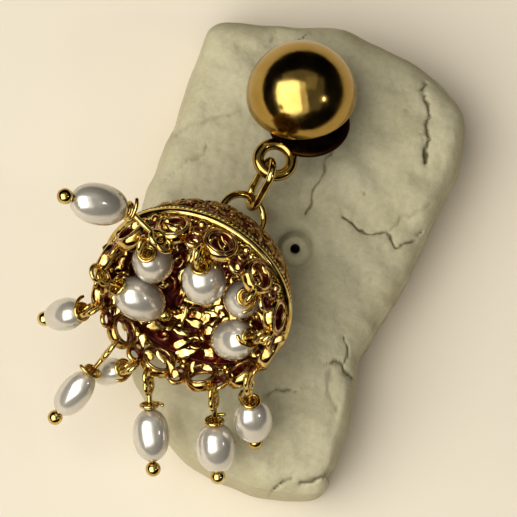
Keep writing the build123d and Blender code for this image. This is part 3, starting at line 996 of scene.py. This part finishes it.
def head_pin(number, place, azimuth, elevation, shank, length, _, bend):
    """Wire bent to an eye over its hanger, then straight down Z through the pearl to its ball."""
    upper = drop_frame(place, azimuth, elevation)
    lower = pearl_frame(place, azimuth, elevation, shank, bend)
    u = np.linspace(-0.47 * np.pi, 1.4 * np.pi, 30)
    eye = np.stack([0 * u, EYE_RADIUS * np.cos(u), EYE_HEIGHT - EYE_RADIUS * np.sin(u)], -1)
    eye_foot, far = EYE_HEIGHT + EYE_RADIUS, COIL_HEIGHT + length + 0.7
    stem = UP * np.linspace(eye_foot + 0.06, eye_foot + shank, 4)[:, None]
    core = UP * np.linspace(0, far, 4)[:, None]
    runs = [placed(tube(path, PIN_WIRE, 10, RIGHT), *frame)
            for path, frame in ((eye, upper), (stem, upper), (core, lower))]
    end = placed(ball(PIN_BALL, 14, 24), lower[0] + lower[1][2] * far, lower[1])
    return joined([*runs, placed(pin_coil(number), *lower), end])


def pearl(number, place, azimuth, elevation, shank, length, width, bend):
    """Rice pearl, drilled: (w sin t cos u, w sin t sin u, h cos t), made uneven by slow waves, its
    bore closing the surface into itself."""
    around, bore_rows = 48, 6
    rng = np.random.default_rng(number)
    u = steps_round(around)
    t = np.linspace(0.18, np.pi - 0.18, 34)[:, None]
    skew = 1 + rng.uniform(-0.06, 0.06) * np.cos(t)
    phase = rng.uniform(0, TURN, 3)
    waves = 1 + 0.018 * np.cos(2 * u + phase[0]) + 0.012 * np.cos(3 * u + phase[1] + 2 * t)
    r = PEARL_FULL * width / 2 * np.sin(t) ** 0.94 * skew * waves
    z = length / 2 * np.sign(np.cos(t)) * np.abs(np.cos(t)) ** 0.92 + 0 * u
    bore = np.linspace(-0.93, 0.93, bore_rows)[:, None] * length / 2 + 0 * u
    r = np.concatenate([r, np.full(bore.shape, BORE_RADIUS)])
    z = np.concatenate([z, bore]) + COIL_HEIGHT + length / 2
    frame = pearl_frame(place, azimuth, elevation, shank, bend)
    return placed(flipped(wrapped(about_z(r, u, z))), *frame)


# ---- the object ----

nacre = pearl_nacre()
part, press = clay_slab()
piece("cracked_clay_slab", part, cracked_clay(), "clay", "clay_slab", press=press)
for name, part, metal, node in (
        ("polished_ball_stud", ball_stud(), polished_gilt, "ball_stud"),
        ("stud_back_and_post", stud_back(), painted_shade_brass, "ball_stud"),
        ("upper_chain_link", upper_link(), drawn_gilt, "chain_link_upper"),
        ("lower_chain_link", lower_link(), drawn_gilt, "chain_link_lower")):
    piece(name, part, metal, "gilt_brass", node)
for name, (part, proud), metal in (
        ("bell_stamped_dome", bell_shell(), antiqued_and_shaded_sheet()),
        ("bell_dome_scrolls", dome_filigree(), dulled_gilt),
        ("bell_inner_scrolls", inner_filigree(), soldered_gilt),
        ("bell_ring_tier", ring_tier(), soldered_gilt),
        ("bell_crown_and_eye", crown(), soldered_gilt)):
    piece(name, part, metal, "gilt_filigree", "jhumka_bell", proud=proud)
piece("bell_girdle_wires", girdle(), drawn_gilt, "gilt_filigree", "jhumka_bell")
piece("bell_hanger_loops", hangers(), drawn_gilt, "gilt_filigree", "jhumka_bell")
for number, drop in enumerate(DROPS, start=1):
    piece(f"wound_head_pin_{number:02d}", head_pin(number, *drop), drawn_gilt, "gilt_wire",
          f"head_pin_{number:02d}")
    piece(f"rice_pearl_{number:02d}", pearl(number, *drop), nacre, "pearl", f"pearl_{number:02d}")

# ---- floor, light and camera ----

FLOOR_HALF = 1500
FLOOR_BELOW = 0.02
DAYLIGHT = "#FFFEFA"
LIGHT_DISTANCE = 600
# left, right, low and high edges of each pane on a mirror ball of radius 1, and its radiance
WINDOW_PANES = [
    (-0.48, 0.12, -0.42, 0.27, 0.9), (-0.46, -0.02, -0.36, 0.26, 2.2),
    (-0.36, 0.28, 0.10, 0.44, 0.2), (0.06, 0.40, -0.30, 0.34, 0.15)]
ROOM_TINT = "#EDE1CC"
CAMERA_WAY = unit(np.array([-0.05, -0.19, 0.98]))
CAMERA_AIM = np.array([-3.28, 0.0, 10.0])
CAMERA_DISTANCE = 250.0
# width that the camera takes in at its aim
VIEW_WIDTH = 46.875
SENSOR_WIDTH = 36.0


def pale_floor():
    """Large matte board under the slab."""
    corners = FLOOR_HALF * np.array([(-1, -1, 0), (1, -1, 0), (1, 1, 0), (-1, 1, 0)])
    board = corners - UP * FLOOR_BELOW, np.arange(4)[None]
    paint, tree, shader, where = new_material(
        "matt_painted_board", Roughness=0.95, Specular_IOR_Level=0.1)
    shade = mottled(tree, where, 40.0, 1.0, [(0.3, "#ECE1CE"), (0.7, "#EEE4D1")])
    plug(tree, shader, Base_Color=shade)
    mesh_object("floor_board", board, paint)


def facing(back):
    """Unit axes as rows of something whose own +Z is back and +Y near the frame's +Y."""
    side = unit(np.cross(AHEAD, back))
    return np.stack([side, np.cross(back, side), back])


def standing(at, back):
    """World matrix of something at a point in millimetres whose own +Z is back."""
    return Matrix.Translation(Vector(at * MM)) @ Matrix(facing(back).T.tolist()).to_4x4()


def soft_box(name, way, width, height, radiance):
    """Flat soft light looking back at the slab from a way: power = radiance * pi * area."""
    data = bpy.data.lights.new(name, "AREA")
    data.shape, data.size, data.size_y = "RECTANGLE", width * MM, height * MM
    data.energy = radiance * np.pi * data.size * data.size_y
    data.color = colour(DAYLIGHT)[:3]
    lamp = bpy.data.objects.new(name, data)
    way = unit(np.array(way))
    lamp.matrix_world = standing(way * LIGHT_DISTANCE, way)
    lamp.visible_camera = False
    bpy.context.scene.collection.objects.link(lamp)


def window():
    """Window as soft panes one over another. What a mirror ball shows at (a, b) of its face lies
    towards (2 c a, 2 c b, 2 c c - 1) in camera axes, and w there is 2 w / c of its distance."""
    for number, (left, right, low, high, radiance) in enumerate(WINDOW_PANES):
        a, b = (left + right) / 2, (low + high) / 2
        c = np.sqrt(1 - a * a - b * b)
        way = np.array([2 * c * a, 2 * c * b, 2 * c * c - 1]) @ facing(CAMERA_WAY)
        reach = LIGHT_DISTANCE * 2 / c
        wide, tall = (right - left) * reach, (high - low) * reach
        soft_box(f"window_pane_{number}", way, wide, tall, radiance)


def dim_room():
    """Dark room, pale where the camera looks straight at it."""
    world = bpy.data.worlds.new("dim_room")
    world.use_nodes = True
    tree = world.node_tree
    room = tree.nodes["Background"]
    plug(tree, room, Color=colour(ROOM_TINT), Strength=0.006)
    seen = add(tree, "Background", Color=colour(ROOM_TINT), Strength=0.85)
    direct = add(tree, "LightPath", output="Is Camera Ray")
    mix = add(tree, "MixShader", i0=direct, i1=room.outputs["Background"], i2=seen)
    plug(tree, tree.nodes["World Output"], Surface=mix)
    bpy.context.scene.world = world


def overhead_camera():
    """Camera almost straight above, leaning a little towards the slab's foot."""
    data = bpy.data.cameras.new("overhead_camera")
    data.sensor_width = SENSOR_WIDTH
    data.lens = SENSOR_WIDTH * CAMERA_DISTANCE / VIEW_WIDTH
    data.clip_start, data.clip_end = 0.01, 10.0
    camera = bpy.data.objects.new("overhead_camera", data)
    camera.matrix_world = standing(CAMERA_AIM + CAMERA_WAY * CAMERA_DISTANCE, CAMERA_WAY)
    bpy.context.scene.collection.objects.link(camera)
    bpy.context.scene.camera = camera


pale_floor()
window()
soft_box("far_lamp", (0.68, -0.25, 0.686), 34, 46, 22.0)
dim_room()
overhead_camera()
view = bpy.context.scene.view_settings
view.view_transform = "Standard"
view.look = "Medium High Contrast"
